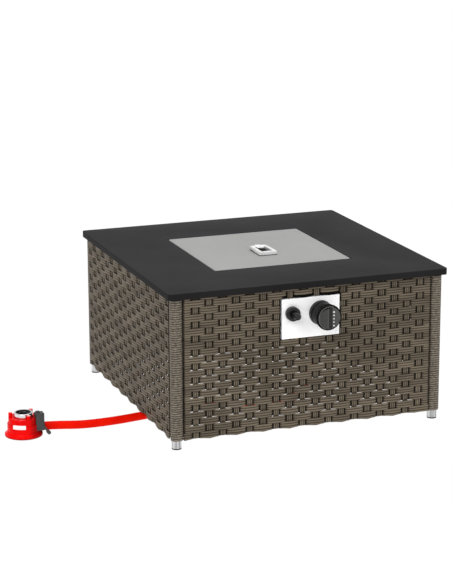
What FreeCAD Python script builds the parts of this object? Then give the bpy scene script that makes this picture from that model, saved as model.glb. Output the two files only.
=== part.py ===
import FreeCAD, Part
import math
import os
import re

vector = FreeCAD.Vector
doc = FreeCAD.newDocument("fire_pit")

# All sizes are in millimetres. X runs along the front, Y into the depth and Z up.
size = {
    "body_width": 684, "table_height": 376, "top_overhang": 8, "top_depth": 15.4, "top_sheet": 1.5,
    "top_corner": 8, "lid_opening": 352, "ledge_width": 12, "return_fold": 20, "foot_height": 22,
    "post_width": 30, "post_tube": 25, "post_wall": 1.5, "post_corner": 12,
    "wrap_fit": 0.1, "wrap_start": 21.5,
    "rail_side": 16, "rail_wall": 1.5, "rail_low": 28, "rail_fit": 0.3,
    "wicker_depth": 9.5, "front_gap": 1.5, "wicker_low": 23.5,
    "wicker_gap": 0.3, "lap_width": 6, "lap_depth": 2.3, "stake_count": 18, "front_margin": 27.45,
    "side_margin": 10.3, "ridge_width": 14, "valley_width": 6, "valley_depth": 4.5,
    "stile_width": 16, "stile_depth": 8, "stile_x": 100,
    "bearer_side": 20, "bearer_fit": 0.8,
    "pan_inset": 4, "pan_sheet": 1.5, "pan_depth": 100, "pan_flange": 12.5,
    "shield_inset": 10, "shield_sheet": 1, "shield_drop": 19, "shield_clear": 6, "spacer_radius": 4,
    "spacer_inset": 20,
    "lid_gap": 2, "lid_sheet": 1.2, "lid_depth": 13.2, "seat_gap": 0.3, "lid_corner": 4,
    "ring_width": 44, "ring_length": 75, "ring_bar": 4, "ring_back": 1, "ring_rise": 1.4,
    "bracket_width": 16, "bracket_x": -0.8, "bracket_back": 16, "bracket_sheet": 2,
    "bracket_shell": 1.2, "ring_fit": 0.35, "leaf_reach": 22, "leaf_low": 1.7, "leaf_sheet": 2,
    "rivet_radius": 1.6, "rivet_head": 2.8, "rivet_fit": 0.3, "rivet_pitch": 8, "rivet_y": 10.5,
    "rivet_tail": 3, "rivet_head_depth": 1.2,
    "pad_width": 44, "pad_length": 67, "pad_depth": 1, "cut_clear": 30,
    "foot_radius": 11.8, "foot_flange": 12, "foot_flange_depth": 3, "foot_pad": 3, "stud_radius": 4,
    "stud_fit": 0.05, "stud_length": 53, "plug_depth": 12, "plug_fit": 0.1,
    "plate_width": 144, "plate_height": 95.5, "plate_sheet": 1.5, "plate_x": 1.5, "plate_drop": 87.8,
    "cut_left": 4.2, "cut_right": 1.8, "cut_under": 1.15, "cut_over": 4.05,
    "frame_plate_margin": 5.25, "frame_plate_sheet": 1.5,
    "screw_radius": 1.6, "screw_head": 3, "screw_fit": 0.3, "screw_inset": 6,
    "screw_head_depth": 1.2,
    "screw_spare": 2,
    "knob_shift": 24.5, "knob_rise": 8.8, "knob_radius": 29.5, "knob_neck": 27, "knob_face": 25,
    "knob_front": 45, "knob_chamfer": 4, "knob_wall": 2.5, "knob_hub": 8, "knob_hollow": 18,
    "grip_left": 23, "grip_right": 6, "grip_crest": 5, "crest_width": 3, "grip_rise": 6, "grip_circle": 24,
    "bezel_radius": 30, "bezel_lip": 26, "bezel_depth": 7, "knob_travel": 3, "knob_gap": 0.6,
    "valve_width": 36, "valve_depth": 38, "nose_radius": 9, "nose_length": 14,
    "plug_radius": 6, "run_fit": 0.05, "stem_radius": 3, "stem_inside": 21, "stem_cover": 12,
    "inlet_radius": 9, "inlet_in": 23, "inlet_drop": 35, "outlet_radius": 6, "outlet_drop": 11,
    "outlet_length": 10, "bore_floor": 5,
    "igniter_shift": 48.1, "igniter_rise": 13.8, "igniter_radius": 11, "igniter_length": 56,
    "igniter_bezel": 17, "igniter_bezel_depth": 14, "button_radius": 8, "button_front": 40,
    "button_back": 6, "button_travel": 6, "button_fit": 0.35,
    "burner_radius": 100, "burner_tube": 9, "burner_rise": 30, "bar_radius": 8, "hub_radius": 14,
    "hub_rise": 1.4, "port_radius": 2,
    "stem_tube": 10, "stem_drop": 20, "nut_width": 17, "nut_depth": 9, "loose_fit": 0.3,
    "mixer_radius": 14, "mixer_length": 46, "mixer_floor": 3, "window_low": 10, "window_height": 14,
    "jet_radius": 5, "jet_flange": 8, "jet_flange_depth": 5, "jet_drop": 10, "jet_length": 18,
    "pipe_radius": 4, "pipe_run": 50, "pipe_reach": 80, "pipe_dip": 30,
    "probe_gap": 24, "probe_radius": 3.5, "probe_tip": 46, "probe_tail": 8, "probe_collar": 4,
    "collar_depth": 2, "probe_point": 1, "point_length": 10, "couple_x": 20, "couple_radius": 2.5,
    "couple_short": 8, "wire_radius": 1.5, "wire_run": 35, "wire_reach": 65, "wire_dip": 40,
    "hose_radius": 10, "union_nut": 12, "union_radius": 12.5, "union_length": 30,
    "reg_x": -633, "reg_y": -102.5, "reg_flange": 44.75, "reg_flange_depth": 6, "reg_dome": 42,
    "reg_shoulder": 12, "reg_radius": 38.3, "reg_step": 30, "reg_neck": 35.5, "reg_body_top": 45,
    "well_floor": 34, "well_fit": 0.8, "pin_radius": 4.7, "pin_circle": 30.6, "pin_top": 55.5,
    "socket_radius": 17, "socket_bore": 13.5, "socket_floor": 40, "socket_top": 52,
    "lock_radius": 22.5, "lock_low": 36, "lock_top": 56, "lock_fit": 0.4,
    "spout_boss": 3.9, "spout_radius": 5.5, "spout_face": 40.5, "spout_z": 16, "spout_end": 45.6,
    "hose_start": 50, "ferrule_radius": 9.8,
    "switch_x": -599.6, "switch_y": -122.5, "switch_width": 20, "switch_depth": 20,
    "switch_low": 15, "switch_top": 57, "switch_fit": 0.4, "stud_shift": 4, "stud_size": 5, "stud_rise": 4,
    "lever_x": -587, "lever_z": 19, "lever_radius": 3, "lever_width": 12, "lever_tilt": 54,
    "lever_length": 16, "lever_sheet": 4.5, "lever_knob": 4.5, "trunnion_radius": 1.5, "ear_width": 2.5,
    "lever_fit": 0.35, "ear_lap": 0.4, "lever_hub": 2.6, "pin_sink": 1, "collar_clear": 1,
}
sheet = doc.addObject("Spreadsheet::Sheet", "sizes")
for row, (name, value) in enumerate(size.items(), 1):
    sheet.set("A%d" % row, name)
    sheet.set("B%d" % row, str(value))
    sheet.setAlias("B%d" % row, name)
doc.recompute()

nodes = []
count = 0
turns = {
    "z": FreeCAD.Rotation(),
    "x": FreeCAD.Rotation(vector(0, 1, 0), 90),
    "y": FreeCAD.Rotation(vector(1, 0, 0), -90),
}


def bound(text):
    # A size's name in an expression points at its cell in the sheet.
    def cell(found):
        return "sizes." + found.group() if found.group() in size else found.group()
    return re.sub(r"[a-z]\w+", cell, str(text))


def add(kind):
    global count
    count += 1
    return doc.addObject("Part::" + kind, "piece%d" % count)


def place(thing, at, axis="z"):
    thing.Placement.Rotation = turns[axis]
    for letter, value in zip("xyz", at):
        thing.setExpression("Placement.Base." + letter, bound(value))
    return thing


def box(middle, low, sides):
    # The box is centred on middle (x, y) and stands on low.
    thing = add("Box")
    for prop, value in zip(("Length", "Width", "Height"), sides):
        thing.setExpression(prop, bound(value))
    left = "%s - (%s) / 2" % (middle[0], sides[0])
    near = "%s - (%s) / 2" % (middle[1], sides[1])
    return place(thing, (left, near, low))


def rod(start, radius, length, axis="z"):
    thing = add("Cylinder")
    thing.setExpression("Radius", bound(radius))
    thing.setExpression("Height", bound(length))
    return place(thing, start, axis)


def cone(start, low_radius, high_radius, length, axis="z"):
    thing = add("Cone")
    thing.setExpression("Radius1", bound(low_radius))
    thing.setExpression("Radius2", bound(high_radius))
    thing.setExpression("Height", bound(length))
    return place(thing, start, axis)


def hexagon(start, across, length, axis="z"):
    thing = add("Prism")
    thing.Polygon = 6
    thing.setExpression("Circumradius", bound("(%s) / 1.732" % across))
    thing.setExpression("Height", bound(length))
    return place(thing, start, axis)


def prism(outline, middle, low, height):
    # An upright block on a flat outline, whose x runs from middle.
    corners = []
    for x, y in outline:
        corner = add("Vertex")
        corner.setExpression("X", bound("%s + %s" % (middle, x)))
        corner.setExpression("Y", bound(y))
        corner.setExpression("Z", bound(low))
        corner.recompute()
        corners.append(corner)
    wire = add("Polygon")
    wire.Nodes = [vector(c.X.Value, c.Y.Value, c.Z.Value) for c in corners]
    wire.Close = True
    thing = add("Extrusion")
    thing.Base = wire
    thing.Dir = vector(0, 0, 1)
    thing.DirMode = "Custom"
    thing.setExpression("LengthFwd", bound(height))
    thing.Solid = True
    return thing


def joined(things):
    if len(things) == 1:
        return things[0]
    thing = add("MultiFuse")
    thing.Shapes = things
    thing.Refine = True
    return thing


def less(base, things):
    thing = add("Cut")
    thing.Base = base
    thing.Tool = joined(things)
    thing.Refine = True
    return thing


def together(things):
    thing = add("Compound")
    thing.Links = things
    return thing


def rounded(middle, low, sides, corner):
    # A block with round upright edges, from two boxes and four rods.
    x, y = middle
    wide, deep, high = sides
    things = [box(middle, low, ("%s - 2 * (%s)" % (wide, corner), deep, high))]
    things.append(box(middle, low, (wide, "%s - 2 * (%s)" % (deep, corner), high)))
    for i in "+-":
        for j in "+-":
            side = "%s %s ((%s) / 2 - (%s))" % (x, i, wide, corner)
            end = "%s %s ((%s) / 2 - (%s))" % (y, j, deep, corner)
            things.append(rod((side, end, low), corner, high))
    return joined(things)


def tube_along(points, radius, report=None):
    # Straight runs are joined by tangent arcs, sized from the shorter run at each corner.
    points = [vector(*p) for p in points]
    edges = []
    start = points[0]
    radii = []
    for before, here, after in zip(points, points[1:], points[2:]):
        back = (before - here).normalize()
        ahead = (after - here).normalize()
        half = (math.pi - back.getAngle(ahead)) / 2
        shorter = min((before - here).Length, (after - here).Length)
        reach = 0.45 * shorter
        bend = reach / math.tan(half)
        first = here + back * reach
        last = here + ahead * reach
        middle = here + (back + ahead).normalize() * (bend / math.cos(half) - bend)
        edges.append(Part.LineSegment(start, first).toShape())
        edges.append(Part.Arc(first, middle, last).toShape())
        start = last
        radii.append(bend)
    edges.append(Part.LineSegment(start, points[-1]).toShape())
    path = Part.Wire(edges)
    ring = Part.Circle(points[0], points[1] - points[0], radius).toShape()
    solid = path.makePipeShell([Part.Wire([ring])], True, False)
    if report:
        section = math.pi * radius ** 2
        print(report, "length %.1f" % path.Length, "radii", ["%.0f" % r for r in radii])
        print(report, "volume against section times length %.4f" % (solid.Volume / (section * path.Length)))
    thing = add("Feature")
    thing.Shape = solid
    return thing


def node(label, thing):
    thing.Label = label
    nodes.append(thing)
    return thing


def both(value):
    return ["-(%s)" % value, "+(%s)" % value]


top_low = "(table_height - top_depth)"
top_width = "(body_width + 2 * top_overhang)"
half_body = "(body_width / 2)"
post_middle = "(body_width / 2 - post_width / 2)"
rail_middle = "(body_width / 2 - wicker_depth - rail_side / 2)"
rail_high = "(table_height - top_depth - rail_side)"
corners = {"front_left": "--", "front_right": "+-", "back_left": "-+", "back_right": "++"}

# Table top: skin, skirt, return fold, lid well and ledge.
skin = rounded((0, 0), top_low, (top_width, top_width, "top_depth"), "top_corner")
inner = "%s - 2 * top_sheet" % top_width
well = "lid_opening + 2 * top_sheet"
cavity = less(
    rounded((0, 0), top_low + " + top_sheet", (inner, inner, "top_depth - 2 * top_sheet"),
            "top_corner - top_sheet"),
    [box((0, 0), top_low, (well, well, "top_depth"))])
fold = "%s - 2 * return_fold" % inner
under = less(box((0, 0), top_low, (fold, fold, "top_sheet")),
             [box((0, 0), top_low, (well, well, "top_depth"))])
ledge = "lid_opening - 2 * ledge_width"
node("table_top", less(skin, [
    cavity, under,
    box((0, 0), top_low + " + top_sheet", ("lid_opening", "lid_opening", "top_depth")),
    box((0, 0), top_low, (ledge, ledge, "top_depth"))]))

# Bearers, fire bowl and heat shield hang under the ledge.
bearer_x = "(lid_opening / 2 + top_sheet + bearer_fit + bearer_side / 2)"
bearer_low = top_low + " - pan_sheet - bearer_side"
bearer_length = "2 * (%s - rail_side / 2)" % rail_middle
bearer_bore = "bearer_side - 2 * rail_wall"
node("top_bearers", together([
    less(box((x, 0), bearer_low, ("bearer_side", bearer_length, "bearer_side")),
         [box((x, 0), bearer_low + " + rail_wall", (bearer_bore, bearer_length, bearer_bore))])
    for x in both(bearer_x)]))
pan_top = top_low + " - pan_sheet"
pan_low = "(table_height - top_depth - pan_sheet - pan_depth)"
pan_floor = "(table_height - top_depth - pan_depth)"
pan_width = "(lid_opening - 2 * ledge_width - 2 * pan_inset)"
pan_outer = pan_width + " + 2 * pan_sheet"
pan_rim = "lid_opening + 2 * top_sheet + 2 * pan_flange"
probe_y = "-(burner_radius + probe_gap)"
node("burner_pan", less(
    joined([box((0, 0), pan_top, (pan_rim, pan_rim, "pan_sheet")),
            box((0, 0), pan_low, (pan_outer, pan_outer, "pan_depth + pan_sheet"))]),
    [box((0, 0), pan_floor, (pan_width, pan_width, "pan_depth")),
     rod((0, 0, pan_low), "stem_tube + loose_fit", "pan_sheet"),
     rod((0, probe_y, pan_low), "probe_radius + loose_fit", "pan_sheet"),
     rod(("couple_x", probe_y, pan_low), "couple_radius + loose_fit", "pan_sheet")]))
shield_low = pan_low + " - shield_drop - shield_sheet"
shield_width = "(%s - 2 * shield_inset)" % pan_width
spacer_place = "(%s / 2 - spacer_inset)" % shield_width
spacers = [rod((x, y, shield_low), "spacer_radius", "shield_drop + shield_sheet")
           for x in both(spacer_place) for y in both(spacer_place)]
node("heat_shield", less(
    joined([box((0, 0), shield_low, (shield_width, shield_width, "shield_sheet"))] + spacers),
    [rod((0, 0, shield_low), "mixer_radius + shield_clear", "shield_sheet"),
     rod((0, probe_y, shield_low), "probe_radius + shield_clear", "shield_sheet"),
     rod(("couple_x", probe_y, shield_low), "couple_radius + shield_clear", "shield_sheet")]))

# Ring burner with crossbar, hub and threaded stem, and a row of ports round its top.
burner_z = "(table_height - top_depth - pan_depth + burner_rise)"
ring = add("Torus")
ring.setExpression("Radius1", bound("burner_radius"))
ring.setExpression("Radius2", bound("burner_tube"))
place(ring, (0, 0, burner_z))
ports = []
for i in range(12):
    spot = ("cos(%d) * burner_radius" % (i * 30 + 15), "sin(%d) * burner_radius" % (i * 30 + 15), burner_z)
    ports.append(rod(spot, "port_radius", "burner_tube + 1"))
node("burner_ring", less(
    joined([ring, rod(("-burner_radius", 0, burner_z), "bar_radius", "2 * burner_radius", "x"),
            rod((0, 0, pan_floor), "hub_radius", "burner_rise + bar_radius + hub_rise"),
            rod((0, 0, pan_floor + " - stem_drop"), "stem_tube", "stem_drop")]),
    ports))
nut_low = pan_low + " - nut_depth"
node("burner_locknut", less(hexagon((0, 0, nut_low), "2 * nut_width", "nut_depth"),
                            [rod((0, 0, nut_low), "stem_tube + loose_fit", "nut_depth")]))
mixer_low = "(table_height - top_depth - pan_sheet - pan_depth - nut_depth - mixer_length)"
node("air_mixer", less(
    rod((0, 0, mixer_low), "mixer_radius", "mixer_length"),
    [rod((0, 0, mixer_low + " + mixer_floor"), "stem_tube + loose_fit", "mixer_length"),
     rod((0, 0, mixer_low), "jet_radius + loose_fit", "mixer_floor"),
     box((0, 0), mixer_low + " + window_low", ("2 * mixer_radius + 2", "jet_radius * 2", "window_height"))]))
node("gas_jet", joined([rod((0, 0, mixer_low + " - jet_drop"), "jet_radius", "jet_length"),
                        rod((0, 0, mixer_low + " - jet_flange_depth"), "jet_flange", "jet_flange_depth")]))

# Spark electrode and flame sensor stand on the bowl's floor.
for label, x, radius, tip in (("spark_electrode", 0, "probe_radius", "probe_tip"),
                              ("thermocouple", "couple_x", "couple_radius", "probe_tip - couple_short")):
    node(label, joined([
        rod((x, probe_y, pan_low + " - probe_tail"), radius, "%s + probe_tail" % tip),
        rod((x, probe_y, pan_floor), "%s + probe_collar" % radius, "collar_depth"),
        rod((x, probe_y, pan_low + " + %s" % tip), "probe_point", "point_length")]))

# Lid, a shallow folded tray resting on the ledge.
lid_low = "(table_height - top_depth + top_sheet + seat_gap)"
lid_top = "(table_height - top_depth + top_sheet + seat_gap + lid_depth)"
lid_width = "(lid_opening - 2 * lid_gap)"
lid_inner = lid_width + " - 2 * lid_sheet"
rivets = [("bracket_x %s rivet_pitch / 2" % i, "rivet_y") for i in "+-"]
node("lid", less(
    rounded((0, 0), lid_low, (lid_width, lid_width, "lid_depth"), "lid_corner"),
    [rounded((0, 0), lid_low, (lid_inner, lid_inner, "lid_depth - lid_sheet"), "lid_corner - lid_sheet")]
    + [rod((x, y, lid_low), "rivet_radius + rivet_fit", "lid_depth") for x, y in rivets]))
bar_z = "(table_height - top_depth + top_sheet + seat_gap + lid_depth + ring_rise + ring_bar)"
bar_x = "(ring_width / 2 - ring_bar)"
bar_back = "(ring_back - ring_bar)"
bar_front = "(ring_back - ring_length + ring_bar)"
side_bar = "(ring_length - ring_bar)"
bars = [box((x, "ring_back - ring_length + %s / 2" % side_bar), bar_z + " - ring_bar",
            ("2 * ring_bar", side_bar, "2 * ring_bar")) for x in both(bar_x)]
bars.append(box((0, bar_front), bar_z + " - ring_bar", ("ring_width", "2 * ring_bar", "2 * ring_bar")))
bars.append(rod(("-" + bar_x, bar_back, bar_z), "ring_bar", "ring_width - 2 * ring_bar", "x"))
for x in both(bar_x):
    ball = add("Sphere")
    ball.setExpression("Radius", bound("ring_bar"))
    bars.append(place(ball, (x, bar_back, bar_z)))
node("lid_handle_ring", joined(bars))
hood = "ring_bar + ring_fit + bracket_shell"
foot_length = "(bracket_back - %s)" % bar_back
bracket_left = "bracket_x - bracket_width / 2"
node("lid_handle_bracket", less(
    joined([rod((bracket_left, bar_back, bar_z), hood, "bracket_width", "x"),
            box(("bracket_x", bar_back + " + %s / 2" % foot_length), lid_top,
                ("bracket_width", foot_length, "bracket_sheet")),
            box(("bracket_x", bar_back + " - leaf_reach / 2"), bar_z + " + leaf_low",
                ("bracket_width", "leaf_reach", "leaf_sheet"))]),
    [rod((bracket_left, bar_back, bar_z), "ring_bar + ring_fit", "bracket_width", "x"),
     box(("bracket_x", bar_back), lid_low, ("cut_clear", "cut_clear", "lid_depth"))]
    + [rod((x, y, lid_low), "rivet_radius + rivet_fit", "lid_depth + 6") for x, y in rivets]))
node("lid_handle_rivets", together([
    joined([rod((x, y, lid_top + " - rivet_tail"), "rivet_radius", "rivet_tail + bracket_sheet"),
            rod((x, y, lid_top + " + bracket_sheet"), "rivet_head", "rivet_head_depth")])
    for x, y in rivets]))
node("lid_handle_pad", box((0, "ring_back - ring_length + pad_length / 2"), lid_top,
                           ("pad_width", "pad_length", "pad_depth")))

# Rails between the posts, top and bottom.
rail_length = "2 * (%s - post_tube / 2)" % post_middle
rail_bore = "rail_side - 2 * rail_wall"


def rails(low, side, bore):
    things = []
    for y in both(rail_middle):
        things.append(less(box((0, y), low, (rail_length, side, side)),
                           [box((0, y), low + " + rail_wall", (rail_length, bore, bore))]))
        things.append(less(box((y, 0), low, (side, rail_length, side)),
                           [box((y, 0), low + " + rail_wall", (bore, rail_length, bore))]))
    return things


node("top_rails", together(rails(rail_high, "rail_side", rail_bore)))
node("bottom_rails", together(rails("rail_low", "rail_side", rail_bore)))
stile_y = "(body_width / 2 - wicker_depth - stile_depth / 2)"
stile_low = "rail_low + rail_side"
stile_high = "%s - rail_low - rail_side" % rail_high
edge_stile = "(body_width / 2 - post_width - wicker_gap - stile_width / 2)"
stiles = [box((x, "-" + stile_y), stile_low, ("stile_width", "stile_depth", stile_high))
          for x in both("stile_x")]
stiles.append(box((0, stile_y), stile_low, ("stile_width", "stile_depth", stile_high)))
stiles += [box((x, y), stile_low, ("stile_width", "stile_depth", stile_high))
           for x in both(edge_stile) for y in both(stile_y)]
stiles += [box((x, 0), stile_low, ("stile_depth", "stile_width", stile_high)) for x in both(stile_y)]
node("panel_stiles", together(stiles))

# Posts, their cord wraps, end plugs, screw feet and pads.
post_high = "%s - foot_height" % top_low
tube_corner = "post_corner - (post_width - post_tube) / 2"
post_bore = "post_tube - 2 * post_wall"
wraps = []
plugs = []
notch = "rail_side + 2 * rail_fit"
for label, signs in corners.items():
    x = signs[0] + post_middle
    y = signs[1] + post_middle
    node("corner_post_" + label, less(
        rounded((x, y), "foot_height", ("post_tube", "post_tube", post_high), tube_corner),
        [rounded((x, y), "foot_height", (post_bore, post_bore, post_high), tube_corner + " - post_wall")]))
    hole = "post_tube + 2 * wrap_fit"
    cuts = [rounded((x, y), "wrap_start", (hole, hole, "table_height"), tube_corner + " + wrap_fit")]
    for low in ("rail_low", rail_high):
        low += " - rail_fit"
        cuts.append(box((signs[0] + "(%s - post_width / 2)" % post_middle, signs[1] + rail_middle), low,
                        ("post_width / 2", notch, notch)))
        cuts.append(box((signs[0] + rail_middle, signs[1] + "(%s - post_width / 2)" % post_middle), low,
                        (notch, "post_width / 2", notch)))
    cuts.append(box((signs[0] + half_body, signs[1] + "(%s - post_width)" % half_body), "wrap_start",
                    ("post_width - post_tube", "2 * lap_width + wicker_gap", "table_height")))
    wraps.append(less(rounded((x, y), "wrap_start", ("post_width", "post_width", top_low + " - wrap_start"),
                              "post_corner"), cuts))
    plug_side = post_bore + " - 2 * plug_fit"
    plugs.append(less(
        rounded((x, y), "foot_height", (plug_side, plug_side, "plug_depth"), tube_corner + " - post_wall"),
        [rod((x, y, "foot_height"), "stud_radius + stud_fit", "plug_depth")]))
    node("foot_" + label, joined([
        rod((x, y, "foot_pad"), "foot_radius", "foot_height - foot_pad - seat_gap"),
        rod((x, y, "foot_pad"), "foot_flange", "foot_flange_depth"),
        rod((x, y, "foot_pad"), "stud_radius", "stud_length")]))
    node("foot_pad_" + label, rod((x, y, 0), "foot_flange - 0.5", "foot_pad"))
node("post_wraps", together(wraps))
node("post_plugs", together(plugs))

# Woven panels: ridges stand over the upright stakes and the strands dip between them.
wicker_high = "%s - wicker_gap - wicker_low" % top_low
wicker_middle = "(body_width / 2 - wicker_depth / 2)"
plate_z = "(table_height - plate_drop)"
plate_low = "(table_height - plate_drop - plate_height / 2)"
wicker_width = "(body_width - 2 * post_width - 2 * front_gap)"
side_width = "(body_width - 2 * post_width - 2 * wicker_gap)"
opening = box(("plate_x + (cut_right - cut_left) / 2", "-" + wicker_middle), plate_low + " - cut_under",
              ("plate_width + cut_right + cut_left", "wicker_depth + 2",
               "plate_height + cut_under + cut_over"))
lap_length = "(body_width - 2 * post_width + 2 * lap_width)"
front_pitch = "((%s - 2 * front_margin) / (stake_count - 1))" % wicker_width
side_pitch = "((%s - 2 * side_margin) / (stake_count - 1))" % lap_length


def valleys(pitch, spot, turn):
    # One trapezoid groove between each pair of stakes; its mouth lies in the panel's outer face.
    things = []
    for i in range(size["stake_count"] - 1):
        along = "(%s - (stake_count - 1) / 2) * %s" % (i + 0.5, pitch)
        thing = add("Wedge")
        for prop, value in (("Xmin", "-(%s - ridge_width) / 2" % pitch),
                            ("Xmax", "(%s - ridge_width) / 2" % pitch),
                            ("X2min", "-valley_width / 2"), ("X2max", "valley_width / 2"),
                            ("Ymin", "0"), ("Ymax", "valley_depth"), ("Zmin", "0"), ("Zmax", wicker_high),
                            ("Z2min", "0"), ("Z2max", wicker_high)):
            thing.setExpression(prop, bound(value))
        place(thing, [text.replace("along", along) for text in spot] + ["wicker_low"])
        thing.Placement.Rotation = FreeCAD.Rotation(vector(0, 0, 1), turn)
        things.append(thing)
    return things


for label, sign, turn in (("front", "-", 0), ("back", "+", 180)):
    panel = box((0, sign + wicker_middle), "wicker_low", (wicker_width, "wicker_depth", wicker_high))
    cuts = valleys(front_pitch, ("along", sign + half_body), turn)
    node("wicker_" + label, less(panel, cuts + [opening] if label == "front" else cuts))
for label, sign, turn in (("left", "-", -90), ("right", "+", 90)):
    lap = box((sign + "(body_width / 2 - lap_depth / 2)", 0), "wicker_low",
              ("lap_depth", lap_length, wicker_high))
    panel = box((sign + wicker_middle, 0), "wicker_low", ("wicker_depth", side_width, wicker_high))
    node("wicker_" + label, less(joined([panel, lap]),
                                 valleys(side_pitch, (sign + half_body, "along"), turn)))

# Control panel, a folded tray screwed to a plate behind the stiles.
face_y = "(-body_width / 2)"
frame_y = "(-body_width / 2 + wicker_depth + stile_depth)"
tray_depth = "(wicker_depth + stile_depth)"
knob_x = "(plate_x + knob_shift)"
knob_z = "(table_height - plate_drop + knob_rise)"
igniter_x = "(plate_x - igniter_shift)"
igniter_z = "(table_height - plate_drop + igniter_rise)"
screw_spots = [
    ("plate_x %s (plate_width / 2 - screw_inset)" % i,
     "%s %s (plate_height / 2 - screw_inset)" % (plate_z, j))
    for i in "+-" for j in "+-"]
tray = less(
    box(("plate_x", face_y + " + %s / 2" % tray_depth), plate_low,
        ("plate_width", tray_depth, "plate_height")),
    [box(("plate_x", face_y + " + %s / 2 + plate_sheet" % tray_depth), plate_low + " + plate_sheet",
         ("plate_width - 2 * plate_sheet", tray_depth, "plate_height - 2 * plate_sheet"))])
node("control_panel", less(tray, [
    rod((knob_x, face_y, knob_z), "knob_hub + 1", "plate_sheet", "y"),
    rod((igniter_x, face_y, igniter_z), "igniter_radius + loose_fit", "plate_sheet", "y")]
    + [rod((x, face_y, z), "screw_radius + screw_fit", "plate_sheet", "y") for x, z in screw_spots]))
node("panel_bracket", less(
    box((0, frame_y + " + frame_plate_sheet / 2"), plate_low + " - frame_plate_margin",
        ("2 * stile_x + stile_width", "frame_plate_sheet", "plate_height + 2 * frame_plate_margin")),
    [rod((knob_x, frame_y, knob_z), "nose_radius + loose_fit", "frame_plate_sheet", "y"),
     rod((igniter_x, frame_y, igniter_z), "igniter_radius + loose_fit", "frame_plate_sheet", "y")]
    + [rod((x, frame_y, z), "screw_radius + screw_fit", "frame_plate_sheet", "y") for x, z in screw_spots]))
node("panel_screws", together([
    joined([rod((x, face_y, z), "screw_radius", tray_depth + " + frame_plate_sheet + screw_spare", "y"),
            rod((x, face_y + " - screw_head_depth", z), "screw_head", "screw_head_depth", "y")])
    for x, z in screw_spots]))

# Gas valve: body with a front nose, an inlet below and an outlet behind.
valve_y = "(%s + frame_plate_sheet)" % frame_y
nose_y = valve_y + " - nose_length"
inlet_y = "(%s + inlet_in)" % valve_y
inlet_low = "(%s - inlet_drop)" % knob_z
outlet_z = "(%s - outlet_drop)" % knob_z
bore_length = "nose_length + valve_depth - bore_floor"
node("gas_valve_body", less(
    joined([box((knob_x, valve_y + " + valve_depth / 2"), knob_z + " - valve_width / 2",
                ("valve_width", "valve_depth", "valve_width")),
            rod((knob_x, nose_y, knob_z), "nose_radius", "nose_length", "y"),
            rod((knob_x, inlet_y, inlet_low), "inlet_radius", "inlet_drop - valve_width / 2 + 1"),
            rod((knob_x, valve_y + " + valve_depth - 1", outlet_z), "outlet_radius",
                "outlet_length + 1", "y")]),
    [rod((knob_x, nose_y, knob_z), "plug_radius + run_fit", bore_length, "y")]))
plug_length = bore_length + " - 1"
node("valve_plug", less(
    rod((knob_x, nose_y, knob_z), "plug_radius", plug_length, "y"),
    [rod((knob_x, nose_y, knob_z), "stem_radius + run_fit", "stem_inside + knob_travel + 2", "y")]))
knob_back = "(%s - bezel_depth - knob_travel - knob_gap)" % face_y
stem_front = "(%s - knob_front + stem_cover)" % face_y
node("valve_stem", rod((knob_x, stem_front, knob_z), "stem_radius",
                       "%s + stem_inside - (%s)" % (nose_y, stem_front), "y"))
face_front = "(%s - knob_front)" % face_y
knob_length = "(%s - %s)" % (knob_back, face_front)
crest = face_front + " - grip_rise"
ridge = prism([
    ("-grip_left", face_front + " + 1"), ("-grip_left", face_front), ("-grip_crest - crest_width", crest),
    ("-grip_crest", crest), ("grip_right", face_front), ("grip_right", face_front + " + 1")],
    knob_x, knob_z + " - grip_circle", "2 * grip_circle")
ridge_ends = rod((knob_x, crest, knob_z), "grip_circle", "grip_rise + 1", "y")
grip = add("MultiCommon")
grip.Shapes = [ridge, ridge_ends]
rim_y = face_front + " + knob_chamfer"
shell = less(
    joined([cone((knob_x, rim_y, knob_z), "knob_radius", "knob_neck", knob_length + " - knob_chamfer", "y"),
            cone((knob_x, face_front, knob_z), "knob_face", "knob_radius", "knob_chamfer", "y")]),
    [rod((knob_x, knob_back + " - knob_hollow", knob_z), "knob_neck - knob_wall", "knob_hollow", "y")])
hub = rod((knob_x, knob_back + " - knob_hollow - 1", knob_z), "knob_hub", "knob_hollow + 1", "y")
node("control_knob", less(
    joined([shell, hub, grip]),
    [rod((knob_x, stem_front, knob_z), "stem_radius + run_fit", "knob_front", "y")]))
node("knob_bezel", less(
    cone((knob_x, face_y + " - bezel_depth", knob_z), "bezel_lip", "bezel_radius", "bezel_depth", "y"),
    [rod((knob_x, face_y + " - bezel_depth", knob_z), "knob_hub + 0.5", "bezel_depth", "y")]))

# Push igniter: body behind the panel, thick bezel in front and a long button.
button_length = "button_front + button_back"
button_y = face_y + " - button_front"
node("igniter_body", less(
    rod((igniter_x, face_y, igniter_z), "igniter_radius", "igniter_length", "y"),
    [rod((igniter_x, face_y, igniter_z), "button_radius + button_fit",
         "button_back + button_travel + 2", "y")]))
node("igniter_bezel", less(
    rod((igniter_x, face_y + " - igniter_bezel_depth", igniter_z), "igniter_bezel",
        "igniter_bezel_depth", "y"),
    [rod((igniter_x, face_y + " - igniter_bezel_depth", igniter_z), "button_radius + button_fit",
         "igniter_bezel_depth", "y")]))
node("igniter_button", rod((igniter_x, button_y, igniter_z), "button_radius", button_length, "y"))

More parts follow.
